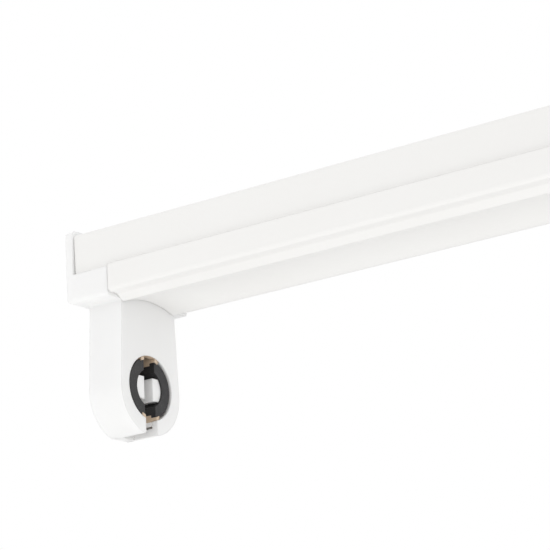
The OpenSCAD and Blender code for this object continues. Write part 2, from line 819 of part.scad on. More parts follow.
base_channel();
cover();
at_end(-1) end_cap();  // end_cap_left
at_end(1) end_cap();  // end_cap_right
at_end(-1) holder_back();  // holder_back_left
at_end(1) holder_back();  // holder_back_right
at_end(-1) rotor();  // rotor_left
at_end(1) rotor();  // rotor_right
at_end(-1) rotor_carrier();  // rotor_carrier_left
at_end(1) rotor_carrier();  // rotor_carrier_right
at_end(-1) contact(-1);  // contact_near_left
at_end(-1) contact(1);  // contact_far_left
at_end(1) contact(1);  // contact_near_right
at_end(1) contact(-1);  // contact_far_right
cap_screws();
cover_clip(-1);  // cover_clip_left
cover_clip(1);  // cover_clip_right
clip_rivets();
terminal_block();
terminal_clamps();
terminal_screws();
block_screw();
live_wire();
neutral_wire();
earth_wire();
earth_ring();
earth_screw();
cable_grommet();
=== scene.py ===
"""Looks for an open batten with a turning lampholder at each end.

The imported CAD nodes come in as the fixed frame. Each gets its finish here, the small
fasteners are rebuilt with their recesses and threads, and a plain studio is set round them.
"""

import json
import logging
import math
from collections.abc import Callable
from dataclasses import dataclass
from enum import Enum

import bmesh
import bpy
from mathutils import Matrix, Vector

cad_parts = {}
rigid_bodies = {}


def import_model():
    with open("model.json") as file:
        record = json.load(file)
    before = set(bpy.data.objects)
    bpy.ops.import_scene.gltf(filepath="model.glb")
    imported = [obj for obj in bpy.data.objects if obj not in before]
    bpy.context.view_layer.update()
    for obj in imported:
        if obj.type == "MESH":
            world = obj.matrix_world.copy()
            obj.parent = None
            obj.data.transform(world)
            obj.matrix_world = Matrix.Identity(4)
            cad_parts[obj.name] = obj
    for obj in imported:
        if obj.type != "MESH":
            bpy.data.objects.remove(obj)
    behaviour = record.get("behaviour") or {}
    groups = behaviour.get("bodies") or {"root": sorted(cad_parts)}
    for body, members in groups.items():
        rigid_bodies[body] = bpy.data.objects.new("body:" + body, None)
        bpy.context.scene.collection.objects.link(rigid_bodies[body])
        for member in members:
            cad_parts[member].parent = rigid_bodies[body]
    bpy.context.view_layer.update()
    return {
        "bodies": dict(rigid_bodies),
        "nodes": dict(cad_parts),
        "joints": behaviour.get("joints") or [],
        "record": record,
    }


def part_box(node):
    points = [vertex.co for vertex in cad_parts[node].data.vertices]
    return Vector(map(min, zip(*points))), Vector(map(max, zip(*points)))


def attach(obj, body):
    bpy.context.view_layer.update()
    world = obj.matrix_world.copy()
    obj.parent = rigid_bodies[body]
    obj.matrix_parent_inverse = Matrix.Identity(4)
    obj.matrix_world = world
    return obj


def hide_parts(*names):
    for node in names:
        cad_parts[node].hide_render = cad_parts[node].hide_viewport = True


log = logging.getLogger("batten")

Triple = tuple[float, float, float]
Colour = Triple
Limits = tuple[float, float]

BODY = "fixture"
MM = 0.001
# A height that keeps two rings of a mesh apart and can't be seen
HAIR = 0.001 * MM
# The lamp's axis, which is also the rotors'
LAMP_Z = -42.2 * MM
# How far light wanders below the skin of white plastic
GLOW_REACH = 1.5 * MM
# How soft the border between two plastics is, to each side
BORDER = 0.03 * MM
# Between these turns of the rounded direction, an edge's mask goes from 0 to 1
EDGE_TURN = (0.12, 0.6)
EDGE_SAMPLES = 6
# Two faces that meet at less than this are shaded as one
SMOOTH_ANGLE = math.radians(32)
# The Mix node's sockets for colours: it has others of the same names
MIX_FACTOR, MIX_LOW, MIX_HIGH, MIX_RESULT = 0, 6, 7, 2
# The Wave texture's scale for stripes one unit apart
STRIPE_SCALE = 0.314
EVEN = (1.0, 1.0, 1.0)
ALONG_X = (0.08, 1.0, 1.0)
ALONG_Z = (1.0, 1.0, 0.08)
WHITE = (0.92, 0.92, 0.918)
LIGHT_BROWN = (0.68, 0.53, 0.395)
CORNERS = ((-1, -1), (-1, 1), (1, -1), (1, 1))


class Axis(Enum):
    """The photo camera's place and its three axes in the part's frame, in metres."""

    CENTRE = (0.13247, -0.52534, -0.20574)
    RIGHT = (0.79752, 0.60164, -0.04457)
    DOWN = (-0.19932, 0.19304, -0.96073)
    FORWARD = (-0.56941, 0.77509, 0.27387)

    @property
    def vector(self) -> Vector:
        """The axis or place as a vector."""
        return Vector(self.value)


class End(Enum):
    """An end of the fixture, as the nodes' names give it."""

    LEFT = "left"
    RIGHT = "right"


class Grain(Enum):
    """How a surface is marked."""

    PEEL = "the soft waves of enamel"
    MOULDED = "the fine skin of moulded plastic"
    SPARK = "the sandy skin of a spark-eroded mould"
    ROLLED = "fine lines left by rolling or drawing"


@dataclass(frozen=True)
class Socket:
    """A shader socket that takes part in Python arithmetic."""

    recipe: "Recipe"
    link: bpy.types.NodeSocket

    def _math(self, operation: str, first: "Socket | float", second: "Socket | float") -> "Socket":
        """Adds a Math node.

        Args:
            operation: Blender's name of the operation.
            first: The left operand.
            second: The right operand.

        Returns:
            The node's result.
        """
        return self.recipe.node("ShaderNodeMath", {"operation": operation}, {0: first, 1: second})

    def __add__(self, other: "Socket | float") -> "Socket":
        """Self plus other."""
        return self._math("ADD", self, other)

    __radd__ = __add__

    def __sub__(self, other: "Socket | float") -> "Socket":
        """Self minus other."""
        return self._math("SUBTRACT", self, other)

    def __rsub__(self, other: "Socket | float") -> "Socket":
        """Other minus self."""
        return self._math("SUBTRACT", other, self)

    def __mul__(self, other: "Socket | float") -> "Socket":
        """Self times other."""
        return self._math("MULTIPLY", self, other)

    __rmul__ = __mul__

    def __abs__(self) -> "Socket":
        """Self without its sign."""
        return self._math("ABSOLUTE", self, 0.0)

    def spread(self, low: float, high: float) -> "Socket":
        """Self, spread so that low becomes 0 and high becomes 1, and held between them."""
        values = {"Value": self, "From Min": low, "From Max": high}
        return self.recipe.node("ShaderNodeMapRange", {"clamp": True}, values)

    def above(self, limit: float) -> "Socket":
        """1 where self lies above the limit and 0 below it, with a soft border."""
        return self.spread(limit - BORDER, limit + BORDER)

    def within(self, low: float, high: float) -> "Socket":
        """1 where self lies between low and high and 0 elsewhere, with soft borders."""
        return self.above(low) * (1.0 - self.above(high))


class Recipe:
    """A material in the making: its node tree and the shader that it feeds."""

    def __init__(self, name: str) -> None:
        """Starts an empty material.

        Args:
            name: The material's name.
        """
        self.material = bpy.data.materials.new(name)
        self.material.use_nodes = True
        self.tree = self.material.node_tree
        self.shader = self.tree.nodes["Principled BSDF"]

    def feed(self, target: bpy.types.NodeSocket, value: "Socket | float | tuple") -> None:
        """Links a socket to another or sets its own value.

        Args:
            target: The socket that takes the value.
            value: A wrapped socket, a number or a tuple of numbers.
        """
        if isinstance(value, Socket):
            self.tree.links.new(value.link, target)
        elif target.type == "RGBA":
            target.default_value = (*value, 1.0)
        else:
            target.default_value = value

    def node(self, kind: str, settings: dict, values: dict, output: int | str = 0) -> Socket:
        """Adds one node.

        Args:
            kind: The node's type.
            settings: Its settings, set before its sockets.
            values: The values or links of its sockets, by name or number.
            output: The output that is wanted.

        Returns:
            That output, wrapped.
        """
        made = self.tree.nodes.new(kind)
        for name, value in settings.items():
            setattr(made, name, value)
        for name, value in values.items():
            self.feed(made.inputs[name], value)
        return Socket(self, made.outputs[output])

    def vector(self, operation: str, first: Socket, second: "Socket | Triple" = EVEN) -> Socket:
        """Adds a Vector Math node.

        Args:
            operation: Blender's name of the operation.
            first: The left operand.
            second: The right operand, if the operation has one.

        Returns:
            The vector, or the number where the operation gives one.
        """
        output = "Value" if operation in ("LENGTH", "DISTANCE") else "Vector"
        values = {0: first, 1: second}
        return self.node("ShaderNodeVectorMath", {"operation": operation}, values, output)

    def place(self, stretch: Triple = EVEN) -> Socket:
        """The point on the object, in the part's frame, stretched along its axes."""
        return self.vector("MULTIPLY", self.node("ShaderNodeTexCoord", {}, {}, "Object"), stretch)

    def coordinate(self, name: str) -> Socket:
        """The point's X, Y or Z, by name."""
        return self.node("ShaderNodeSeparateXYZ", {}, {0: self.place()}, name)

    def from_axis(self) -> Socket:
        """The distance from the lamp's axis.

        Returns:
            The distance, in metres.
        """
        point = self.vector("SUBTRACT", self.place(), (0.0, 0.0, LAMP_Z))
        return self.vector("LENGTH", self.vector("MULTIPLY", point, (0.0, 1.0, 1.0)))

    def noise(self, size: float, detail: float = 3.0, stretch: Triple = EVEN) -> Socket:
        """Soft noise.

        Args:
            size: The size of its features, in metres.
            detail: How many finer layers it has.
            stretch: How it is stretched along the axes.

        Returns:
            A value round 0.5.
        """
        values = {"Vector": self.place(stretch), "Scale": 1.0 / size, "Detail": detail}
        return self.node("ShaderNodeTexNoise", {"noise_dimensions": "3D"}, values)

    def cells(self, size: float) -> Socket:
        """The distance to the nearest of many scattered points, about size apart."""
        values = {"Vector": self.place(), "Scale": 1.0 / size}
        return self.node("ShaderNodeTexVoronoi", {"feature": "F1"}, values, "Distance")

    def mix(
        self, mask: "Socket | float", low: "Socket | Colour", high: "Socket | Colour"
    ) -> Socket:
        """Blends two colours.

        Args:
            mask: 0 for the first colour, 1 for the second.
            low: The first colour.
            high: The second colour.

        Returns:
            The blend.
        """
        settings = {"data_type": "RGBA", "clamp_factor": True}
        values = {MIX_FACTOR: mask, MIX_LOW: low, MIX_HIGH: high}
        return self.node("ShaderNodeMix", settings, values, MIX_RESULT)

    def rounded(self, radius: float) -> Socket:
        """The surface's direction with its edges rounded off, radius in metres."""
        return self.node("ShaderNodeBevel", {"samples": EDGE_SAMPLES}, {"Radius": radius})

    def edges(self, rounded: Socket) -> Socket:
        """A mask of the edges: 0 on flats and 1 where the rounded direction turns away.

        Args:
            rounded: The rounded direction.

        Returns:
            The mask.
        """
        plain = self.node("ShaderNodeNewGeometry", {}, {}, "Normal")
        return self.vector("DISTANCE", rounded, plain).spread(*EDGE_TURN)

    def bump(self, height: Socket, depth: float, normal: Socket) -> Socket:
        """Raises the surface.

        Args:
            height: The height, from 0 to 1.
            depth: What 1 means, in metres.
            normal: The direction that it starts from.

        Returns:
            The direction for the shader.
        """
        values = {"Strength": 1.0, "Distance": depth, "Height": height, "Normal": normal}
        return self.node("ShaderNodeBump", {}, values)


@dataclass(frozen=True)
class Cloud:
    """A layer of noise that makes a mask.

    Attributes:
        size: The size of its features, as a share of the finish's patches.
        detail: How many finer layers it has.
        limits: The noise that becomes 0, and the noise that becomes 1.
    """

    size: float
    detail: float
    limits: Limits

    def mask(self, recipe: Recipe, patch: float, stretch: Triple = EVEN) -> Socket:
        """The mask, for patches of a given size and stretch."""
        return recipe.noise(patch * self.size, self.detail, stretch).spread(*self.limits)


@dataclass(frozen=True)
class Ripple:
    """A layer of noise that raises the surface.

    Attributes:
        size: The size of its features, as a share of the finish's marks.
        detail: How many finer layers it has.
        share: Its share of the height.
    """

    size: float
    detail: float
    share: float

    def height(self, recipe: Recipe, marks: float) -> Socket:
        """The height, for marks of a given size."""
        return recipe.noise(marks * self.size, self.detail) * self.share


PATCHES = Cloud(1.0, 2.0, (0.25, 0.75))
RUBS = Cloud(0.3, 5.0, (0.3, 0.62))
SPOTS = Cloud(0.45, 3.0, (0.2, 0.8))
PEEL_WAVES = Ripple(1.0, 1.0, 0.6)
PEEL_SWELL = Ripple(6.0, 0.0, 0.6)
SPARK_GRIT = Ripple(0.5, 2.0, 0.5)
SPARK_PITS = 0.7
SKIN_GRAIN = Ripple(1.0, 2.0, 0.5)
SKIN_SINKS = Ripple(14.0, 0.0, 0.6)
ROLLED_DETAIL = 4.0


@dataclass(frozen=True)
class Finish:
    """A finish of one material slot, in linear colours and metres.

    Attributes:
        slot: The record's material slot, which also names the material.
        colour: The main colour.
        shade: The colour of its slightly darker patches.
        worn: The colour of rubbed edges.
        wear: How much of an edge is rubbed, from 0 to 1.
        rough: The mean roughness.
        swing: How far the roughness varies.
        patch: The size of the patches.
        grain: The kind of marks.
        grain_size: The size of the marks.
        grain_depth: The depth of the marks.
        stretch: How the marks are stretched along the axes.
        edge: The radius of the edges.
        metal: 1 for bare metal.
        gleam: The strength of the shine, 0.5 for common plastic.
        glow: The share of the light that wanders below the skin, as it does in white plastic.
    """

    slot: str
    colour: Colour
    shade: Colour
    worn: Colour
    wear: float = 0.3
    rough: float = 0.4
    swing: float = 0.1
    patch: float = 0.02
    grain: Grain = Grain.MOULDED
    grain_size: float = 0.0004
    grain_depth: float = 0.000004
    stretch: Triple = EVEN
    edge: float = 0.0003
    metal: float = 0.0
    gleam: float = 0.5
    glow: float = 0.0

    def tone(self, recipe: Recipe) -> Socket:
        """The colour away from the edges.

        Args:
            recipe: The material in the making.

        Returns:
            The colour.
        """
        return recipe.mix(PATCHES.mask(recipe, self.patch), self.shade, self.colour)

    def height(self, recipe: Recipe) -> Socket:
        """The height of the marks.

        Args:
            recipe: The material in the making.

        Returns:
            The height, from 0 to about 1.
        """
        marks = self.grain_size
        if self.grain is Grain.PEEL:
            return PEEL_WAVES.height(recipe, marks) + PEEL_SWELL.height(recipe, marks)
        if self.grain is Grain.SPARK:
            return recipe.cells(marks) * SPARK_PITS + SPARK_GRIT.height(recipe, marks)
        if self.grain is Grain.MOULDED:
            return SKIN_GRAIN.height(recipe, marks) + SKIN_SINKS.height(recipe, marks)
        return recipe.noise(marks, ROLLED_DETAIL, self.stretch)

    def material(self) -> bpy.types.Material:
        """Builds the finish.

        Returns:
            The material.
        """
        recipe = Recipe(self.slot)
        shader = recipe.shader.inputs
        rounded = recipe.rounded(self.edge)
        rubbed = recipe.edges(rounded) * RUBS.mask(recipe, self.patch) * self.wear
        spots = SPOTS.mask(recipe, self.patch, self.stretch)
        recipe.feed(shader["Base Color"], recipe.mix(rubbed, self.tone(recipe), self.worn))
        recipe.feed(shader["Roughness"], spots * self.swing + (self.rough - self.swing / 2.0))
        recipe.feed(shader["Normal"], recipe.bump(self.height(recipe), self.grain_depth, rounded))
        for name, value in (("Metallic", self.metal), ("Specular IOR Level", self.gleam),
                            ("Subsurface Weight", self.glow), ("Subsurface Scale", GLOW_REACH)):
            recipe.feed(shader[name], value)
        recipe.feed(shader["Subsurface Radius"], EVEN)
        return recipe.material


@dataclass(frozen=True)
class Striped(Finish):
    """Wire insulation with a second colour laid along it.

    Attributes:
        stripe: The second colour.
        band: How far its stripes are apart.
        waver: How far they stray.
        border: The part of the wave in which the colours blend.
    """

    stripe: Colour = (0.75, 0.62, 0.04)
    band: float = 2.0 * MM
    waver: float = 0.4
    border: Limits = (0.45, 0.55)

    def tone(self, recipe: Recipe) -> Socket:
        """The two colours of the insulation.

        Args:
            recipe: The material in the making.

        Returns:
            The colour.
        """
        bands = {"wave_type": "BANDS", "bands_direction": "Y", "wave_profile": "SIN"}
        scale = STRIPE_SCALE / self.band
        values = {"Vector": recipe.place(), "Scale": scale, "Distortion": self.waver}
        wave = recipe.node("ShaderNodeTexWave", bands, values, "Fac")
        return recipe.mix(wave.spread(*self.border), super().tone(recipe), self.stripe)


@dataclass(frozen=True)
class Speckled(Finish):
    """Filled plastic: fine pale specks of filler on the moulded face.

    Attributes:
        speck: The colour of the specks.
        share: How strongly they show.
        spacing: How far they are apart, as a share of the marks' size.
        reach: The distances from a speck's middle at which it starts to fade and has gone.
    """

    speck: Colour = (0.16, 0.155, 0.16)
    share: float = 0.25
    spacing: float = 2.2
    reach: Limits = (0.1, 0.42)

    def tone(self, recipe: Recipe) -> Socket:
        """The main colour with its specks.

        Args:
            recipe: The material in the making.

        Returns:
            The colour.
        """
        between = recipe.cells(self.grain_size * self.spacing).spread(*self.reach)
        return recipe.mix((1.0 - between) * self.share, super().tone(recipe), self.speck)


@dataclass(frozen=True)
class TwoShot(Speckled):
    """The carrier's plastic: its rim is white but for the top, as the entry slot shows it.

    Attributes:
        rim: The colour of the rim.
        rim_r: Where the rim starts, from the lamp's axis.
        rim_top: Where it ends at the top.
    """

    rim: Colour = WHITE
    rim_r: float = 8.75 * MM
    rim_top: float = LAMP_Z + 6.0 * MM

    def tone(self, recipe: Recipe) -> Socket:
        """The carrier's colour and the rim's.

        Args:
            recipe: The material in the making.

        Returns:
            The colour.
        """
        below = 1.0 - recipe.coordinate("Z").above(self.rim_top)
        outside = recipe.from_axis().above(self.rim_r)
        return recipe.mix(outside * below, super().tone(recipe), self.rim)


@dataclass(frozen=True)
class Lined(Finish):
    """White plastic with a light brown lining in the top of the lampholder's opening.

    Attributes:
        lining: The lining's colour.
        radii: The radii between which it lies, from the lamp's axis.
        depth: Where it starts and ends along the fixture, from the middle.
        heights: Its lowest and highest place.
    """

    lining: Colour = LIGHT_BROWN
    radii: Limits = (8.55 * MM, 8.72 * MM)
    depth: Limits = (295.62 * MM, 297.4 * MM)
    heights: Limits = (LAMP_Z + 7.6 * MM, LAMP_Z + 9.0 * MM)

    def tone(self, recipe: Recipe) -> Socket:
        """The white and the lining's colour.

        Args:
            recipe: The material in the making.

        Returns:
            The colour.
        """
        along = abs(recipe.coordinate("X")).within(*self.depth)
        top = recipe.coordinate("Z").within(*self.heights)
        wall = recipe.from_axis().within(*self.radii)
        return recipe.mix(wall * along * top, super().tone(recipe), self.lining)


FINISHES = (
    Finish(
        "white_steel", (0.905, 0.898, 0.884), (0.892, 0.884, 0.868), (0.84, 0.82, 0.79),
        wear=0.25, rough=0.36, patch=0.03,
        grain=Grain.PEEL, grain_size=0.0011, grain_depth=0.000009, edge=0.00035,
    ),
    Lined(
        "white_plastic", WHITE, (0.907, 0.905, 0.9), (0.85, 0.835, 0.81),
        wear=0.2, rough=0.36, patch=0.012, glow=0.35,
        grain_size=0.0005, grain_depth=0.000008, edge=0.0004,
    ),
    Speckled(
        "black_plastic", (0.034, 0.033, 0.034), (0.026, 0.025, 0.026), (0.08, 0.078, 0.078),
        wear=0.6, rough=0.55, swing=0.16, patch=0.004, gleam=0.4, speck=(0.1, 0.098, 0.1),
        grain=Grain.SPARK, grain_size=0.00028, grain_depth=0.00002, edge=0.00022,
    ),
    TwoShot(
        "tan_plastic", LIGHT_BROWN, (0.6, 0.46, 0.33), (0.74, 0.62, 0.5),
        wear=0.6, rough=0.5, swing=0.14, patch=0.003,
        grain=Grain.SPARK, grain_depth=0.000012, edge=0.0002, speck=(0.74, 0.61, 0.48),
    ),
    Finish(
        "bronze", (0.72, 0.48, 0.28), (0.58, 0.36, 0.2), (0.85, 0.62, 0.4),
        wear=0.7, rough=0.39, swing=0.18, patch=0.003,
        grain=Grain.ROLLED, stretch=ALONG_Z, grain_depth=0.000006, edge=0.00012, metal=1.0,
    ),
    Finish(
        "brass", (0.8, 0.62, 0.3), (0.66, 0.48, 0.2), (0.9, 0.75, 0.45),
        wear=0.7, rough=0.38, swing=0.16, patch=0.003,
        grain=Grain.ROLLED, stretch=ALONG_X, grain_depth=0.000006, edge=0.00015, metal=1.0,
    ),
    Finish(
        "zinc_steel", (0.66, 0.68, 0.7), (0.52, 0.55, 0.58), (0.8, 0.8, 0.8),
        wear=0.8, rough=0.41, swing=0.22, patch=0.0025,
        grain=Grain.SPARK, grain_depth=0.000006, edge=0.00015, metal=1.0,
    ),
    Finish(
        "spring_steel", (0.4, 0.41, 0.43), (0.27, 0.27, 0.3), (0.62, 0.62, 0.62),
        wear=0.8, rough=0.4, swing=0.2, patch=0.006,
        grain=Grain.ROLLED, stretch=ALONG_X, grain_depth=0.000006, edge=0.00012, metal=1.0,
    ),
    Speckled(
        "block_plastic", (0.74, 0.7, 0.6), (0.66, 0.61, 0.5), (0.82, 0.79, 0.7),
        wear=0.5, rough=0.45, swing=0.12, patch=0.005,
        grain=Grain.SPARK, grain_depth=0.00001, speck=(0.8, 0.77, 0.68), share=0.2,
    ),
    Finish(
        "wire_brown", (0.22, 0.085, 0.035), (0.15, 0.055, 0.02), (0.34, 0.18, 0.1),
        rough=0.38, patch=0.006,
        grain=Grain.ROLLED, stretch=ALONG_X, grain_depth=0.000008, edge=0.0002,
    ),
    Finish(
        "wire_blue", (0.03, 0.16, 0.52), (0.02, 0.11, 0.4), (0.12, 0.3, 0.66),
        rough=0.38, patch=0.006,
        grain=Grain.ROLLED, stretch=ALONG_X, grain_depth=0.000008, edge=0.0002,
    ),
    Striped(
        "wire_green", (0.06, 0.32, 0.05), (0.04, 0.24, 0.03), (0.3, 0.5, 0.2),
        rough=0.38, patch=0.006,
        grain=Grain.ROLLED, stretch=ALONG_X, grain_depth=0.000008, edge=0.0002,
    ),
    Finish(
        "grommet_rubber", (0.035, 0.035, 0.036), (0.022, 0.022, 0.023), (0.1, 0.1, 0.1),
        wear=0.5, rough=0.62, swing=0.16, patch=0.004,
        grain_size=0.0003, grain_depth=0.000012, edge=0.0004,
    ),
)


class Wardrobe:
    """The finishes in use, built once and given to nodes and pieces by slot."""

    def __init__(self, frame: dict) -> None:
        """Builds every finish.
        """
        self.nodes = frame["nodes"]
        self.slots = {part["node"]: part["material_slot"] for part in frame["record"]["subparts"]}
        self.materials = {finish.slot: finish.material() for finish in FINISHES}

    def dress_node(self, name: str) -> None:
        """Gives a CAD node the finish of its slot in the record.

        Args:
            name: The node's name.
        """
        for place in self.nodes[name].material_slots:
            place.material = self.materials[self.slots[name]]
        log.info("%s is finished in %s", name, self.slots[name])

    def dress_piece(self, piece: bpy.types.Object, slot: str) -> None:
        """Gives a new piece its finish and lets it ride on the fixture.

        Args:
            piece: The piece.
            slot: The record's material slot.
        """
        piece.data.materials.clear()
        piece.data.materials.append(self.materials[slot])
        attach(piece, BODY)
        log.info("%s is built, in %s", piece.name, slot)


class Workshop:
    """Ways of making meshes."""

    @staticmethod
    def turned(
        radius: Callable[[float, float], float], heights: list[float], steps: int
    ) -> bmesh.types.BMesh:
        """A closed piece round Z.

        Args:
            radius: Gives the radius from the height and the angle.
            heights: The heights of its rings, from one end to the other.
            steps: How many points each ring has.

        Returns:
            The mesh.
        """
        mesh = bmesh.new()
        turn = [2.0 * math.pi * k / steps for k in range(steps)]
        rings = []
        for z in heights:
            spots = [(radius(z, a) * math.cos(a), radius(z, a) * math.sin(a), z) for a in turn]
            rings.append([mesh.verts.new(spot) for spot in spots])
        for low, high in zip(rings, rings[1:]):
            for k in range(steps):
                n = (k + 1) % steps
                mesh.faces.new((low[k], low[n], high[n], high[k]))
        mesh.faces.new(list(reversed(rings[0])))
        mesh.faces.new(rings[-1])
        return mesh

    @staticmethod
    def as_object(mesh: bmesh.types.BMesh, name: str) -> bpy.types.Object:
        """Turns a mesh into a scene object.

        Args:
            mesh: The mesh, which is freed.
            name: The object's name.

        Returns:
            The object.
        """
        bmesh.ops.recalc_face_normals(mesh, faces=mesh.faces)
        data = bpy.data.meshes.new(name)
        mesh.to_mesh(data)
        mesh.free()
        piece = bpy.data.objects.new(name, data)
        bpy.context.scene.collection.objects.link(piece)
        return piece

    @staticmethod
    def cut(piece: bpy.types.Object, tools: list[bpy.types.Object]) -> None:
        """Cuts tools out of a piece and removes them.

        Args:
            piece: The piece.
            tools: What is cut out of it.
        """
        for tool in tools:
            step = piece.modifiers.new("cut", "BOOLEAN")
            step.operation, step.solver, step.object = "DIFFERENCE", "EXACT", tool
        bpy.context.view_layer.update()
        graph = bpy.context.evaluated_depsgraph_get()
        done = bpy.data.meshes.new_from_object(piece.evaluated_get(graph))
        piece.modifiers.clear()
        piece.data = done
        for tool in tools:
            bpy.data.objects.remove(tool)

    @staticmethod
    def bar(size: Triple, height: float, taper: float, turn: float) -> bpy.types.Object:
        """A bar used as a cutting tool.

        Args:
            size: Its lengths along X, Y and Z.
            height: The height of its middle.
            taper: How narrow its lower end is, as a share of the upper one.
            turn: How far it is turned round Z, in radians.

        Returns:
            The bar.
        """
        mesh = bmesh.new()
        bmesh.ops.create_cube(mesh, size=1.0)
        for v in mesh.verts:
            k = taper if v.co.z < 0.0 else 1.0
            v.co = Vector((v.co.x * size[0] * k, v.co.y * size[1] * k, v.co.z * size[2] + height))
        bmesh.ops.transform(mesh, matrix=Matrix.Rotation(turn, 4, "Z"), verts=mesh.verts)
        return Workshop.as_object(mesh, "tool")

    @staticmethod
    def join(pieces: list[bpy.types.Object], name: str) -> bpy.types.Object:
        """Joins pieces into one object with smooth round faces.

        Args:
            pieces: The pieces, in place.
            name: The name of the result.

        Returns:
            The object.
        """
        bpy.context.view_layer.update()
        whole = bmesh.new()
        for piece in pieces:
            piece.data.transform(piece.matrix_world)
            whole.from_mesh(piece.data)
            bpy.data.objects.remove(piece)
        made = Workshop.as_object(whole, name)
        made.data.shade_smooth()
        made.data.set_sharp_from_angle(angle=SMOOTH_ANGLE)
        return made


@dataclass(frozen=True)
class Screw:
    """A pan-head screw with a cross recess and a rolled thread, its head's seat at Z = 0.

    Attributes:
        head_r: The head's radius.
        head_h: The head's height.
        shank_r: The radius of the thread's crests.
        length: From the seat to the point.
        pitch: The thread's pitch.
        thread: The thread's depth, as a share of shank_r.
        crest: Half the width of the thread's ridge, as a share of the pitch.
        point_r: The radius of the point's end, as a share of shank_r.
        point_h: How long the point would be if it ended sharp, in shank_r.
        top_r: The radius of the dome's flat top, as a share of head_r.
        cross: The length and width of the recess's bars in head_r, and their height in
            head_h, of which the lower half is cut.
        taper: How narrow the recess is at its floor, as a share of its top.
        turn: How far the cross is turned, in radians.
        dome_steps: How many rings the dome has.
        dome_sides: How many sides the head has.
        thread_steps: How many rings one turn of the thread has.
        thread_sides: How many sides the shank has.
    """

    head_r: float
    head_h: float
    shank_r: float
    length: float
    pitch: float = 1.3 * MM
    thread: float = 0.12
    crest: float = 0.25
    point_r: float = 0.3
    point_h: float = 1.2
    top_r: float = 0.55
    cross: Triple = (1.25, 0.26, 1.4)
    taper: float = 0.35
    turn: float = 0.4
    dome_steps: int = 8
    dome_sides: int = 40
    thread_steps: int = 8
    thread_sides: int = 28

    def dome(self, z: float, _: float) -> float:
        """The head's radius at a height."""
        share = min(1.0, max(0.0, z / self.head_h))
        return self.head_r * (self.top_r + (1.0 - self.top_r) * math.sqrt(1.0 - share * share))

    def flank(self, z: float, angle: float) -> float:
        """The thread's radius.

        Args:
            z: The height, from the seat.
            angle: The angle round the screw.

        Returns:
            The radius there.
        """
        phase = (z / self.pitch - angle / (2.0 * math.pi)) % 1.0
        ridge = max(0.0, 1.0 - abs(phase - 0.5) / self.crest)
        point = min(1.0, (self.length + z) / (self.point_h * self.shank_r) + self.point_r)
        return self.shank_r * (1.0 - self.thread + self.thread * ridge) * point

    def head(self) -> bpy.types.Object:
        """The head with its recess.

        Returns:
            The head.
        """
        quarter, steps = math.pi / 2, self.dome_steps
        levels = [self.head_h * math.sin(quarter * k / steps) for k in range(steps + 1)]
        head = Workshop.as_object(Workshop.turned(self.dome, levels, self.dome_sides), "head")
        length, width, depth = self.cross
        size = (self.head_r * length, self.head_r * width, self.head_h * depth)
        turns = (self.turn, self.turn + quarter)
        Workshop.cut(head, [Workshop.bar(size, self.head_h, self.taper, a) for a in turns])
        return head

    def shank(self) -> bpy.types.Object:
        """The threaded shank, with a short point.

        Returns:
            The shank.
        """
        count = int(self.length / self.pitch * self.thread_steps)
        levels = [-self.length * k / count for k in range(count + 1)]
        return Workshop.as_object(Workshop.turned(self.flank, levels, self.thread_sides), "shank")

    def build(self, at: Triple) -> bpy.types.Object:
        """The whole screw, standing at a point.

        Args:
            at: The middle of its head's seat.

        Returns:
            The screw.
        """
        screw = Workshop.join([self.head(), self.shank()], "screw")
        screw.location = at
        return screw


@dataclass(frozen=True)
class Rivet:
    """A blind rivet: a domed head with the mandrel's hole, and a swelled tail.

    Attributes:
        head_r: The head's radius.
        head_h: The head's height.
        body_r: The body's radius.
        tail_r: The tail's radius.
        tail_h: The tail's height.
        grip: The thickness that it holds together.
        head: Places up the head and the radius at each, as shares of head_h and head_r.
        tail: The same up the tail.
        hole_r: The hole's radius, as a share of head_r.
        hole: The lowest and highest place of its drill, in head_h.
        sides: How many sides the rivet has.
        hole_sides: How many sides the hole has.
    """

    head_r: float
    head_h: float
    body_r: float
    tail_r: float
    tail_h: float
    grip: float
    head: tuple[Limits, ...] = ((0.0, 1.0), (0.35, 0.97), (0.75, 0.78), (1.0, 0.42))
    tail: tuple[Limits, ...] = ((0.0, 0.62), (0.25, 0.94), (0.6, 1.0), (1.0, 0.97))
    hole_r: float = 0.26
    hole: Limits = (0.15, 2.0)
    sides: int = 36
    hole_sides: int = 24

    def outline(self) -> dict[float, float]:
        """The rivet's outline.

        Returns:
            The radius at each height, from the tail up, with the head's seat at Z = 0.
        """
        end, step = -self.grip - self.tail_h, HAIR
        tail = {end + z * self.tail_h: r * self.tail_r for z, r in self.tail}
        body = {-self.grip + step: self.body_r, -step: self.body_r}
        head = {z * self.head_h: r * self.head_r for z, r in self.head}
        return tail | body | head

    def build(self, at: Triple) -> bpy.types.Object:
        """The rivet, its head's seat at a point.

        Args:
            at: The middle of the head's seat.

        Returns:
            The rivet.
        """
        radii = self.outline()
        turned = Workshop.turned(lambda z, _: radii[z], list(radii), self.sides)
        body = Workshop.as_object(turned, "body")
        levels = [z * self.head_h for z in self.hole]
        drill = Workshop.turned(lambda *_: self.hole_r * self.head_r, levels, self.hole_sides)
        Workshop.cut(body, [Workshop.as_object(drill, "tool")])
        rivet = Workshop.join([body], "rivet")
        rivet.location = at
        return rivet


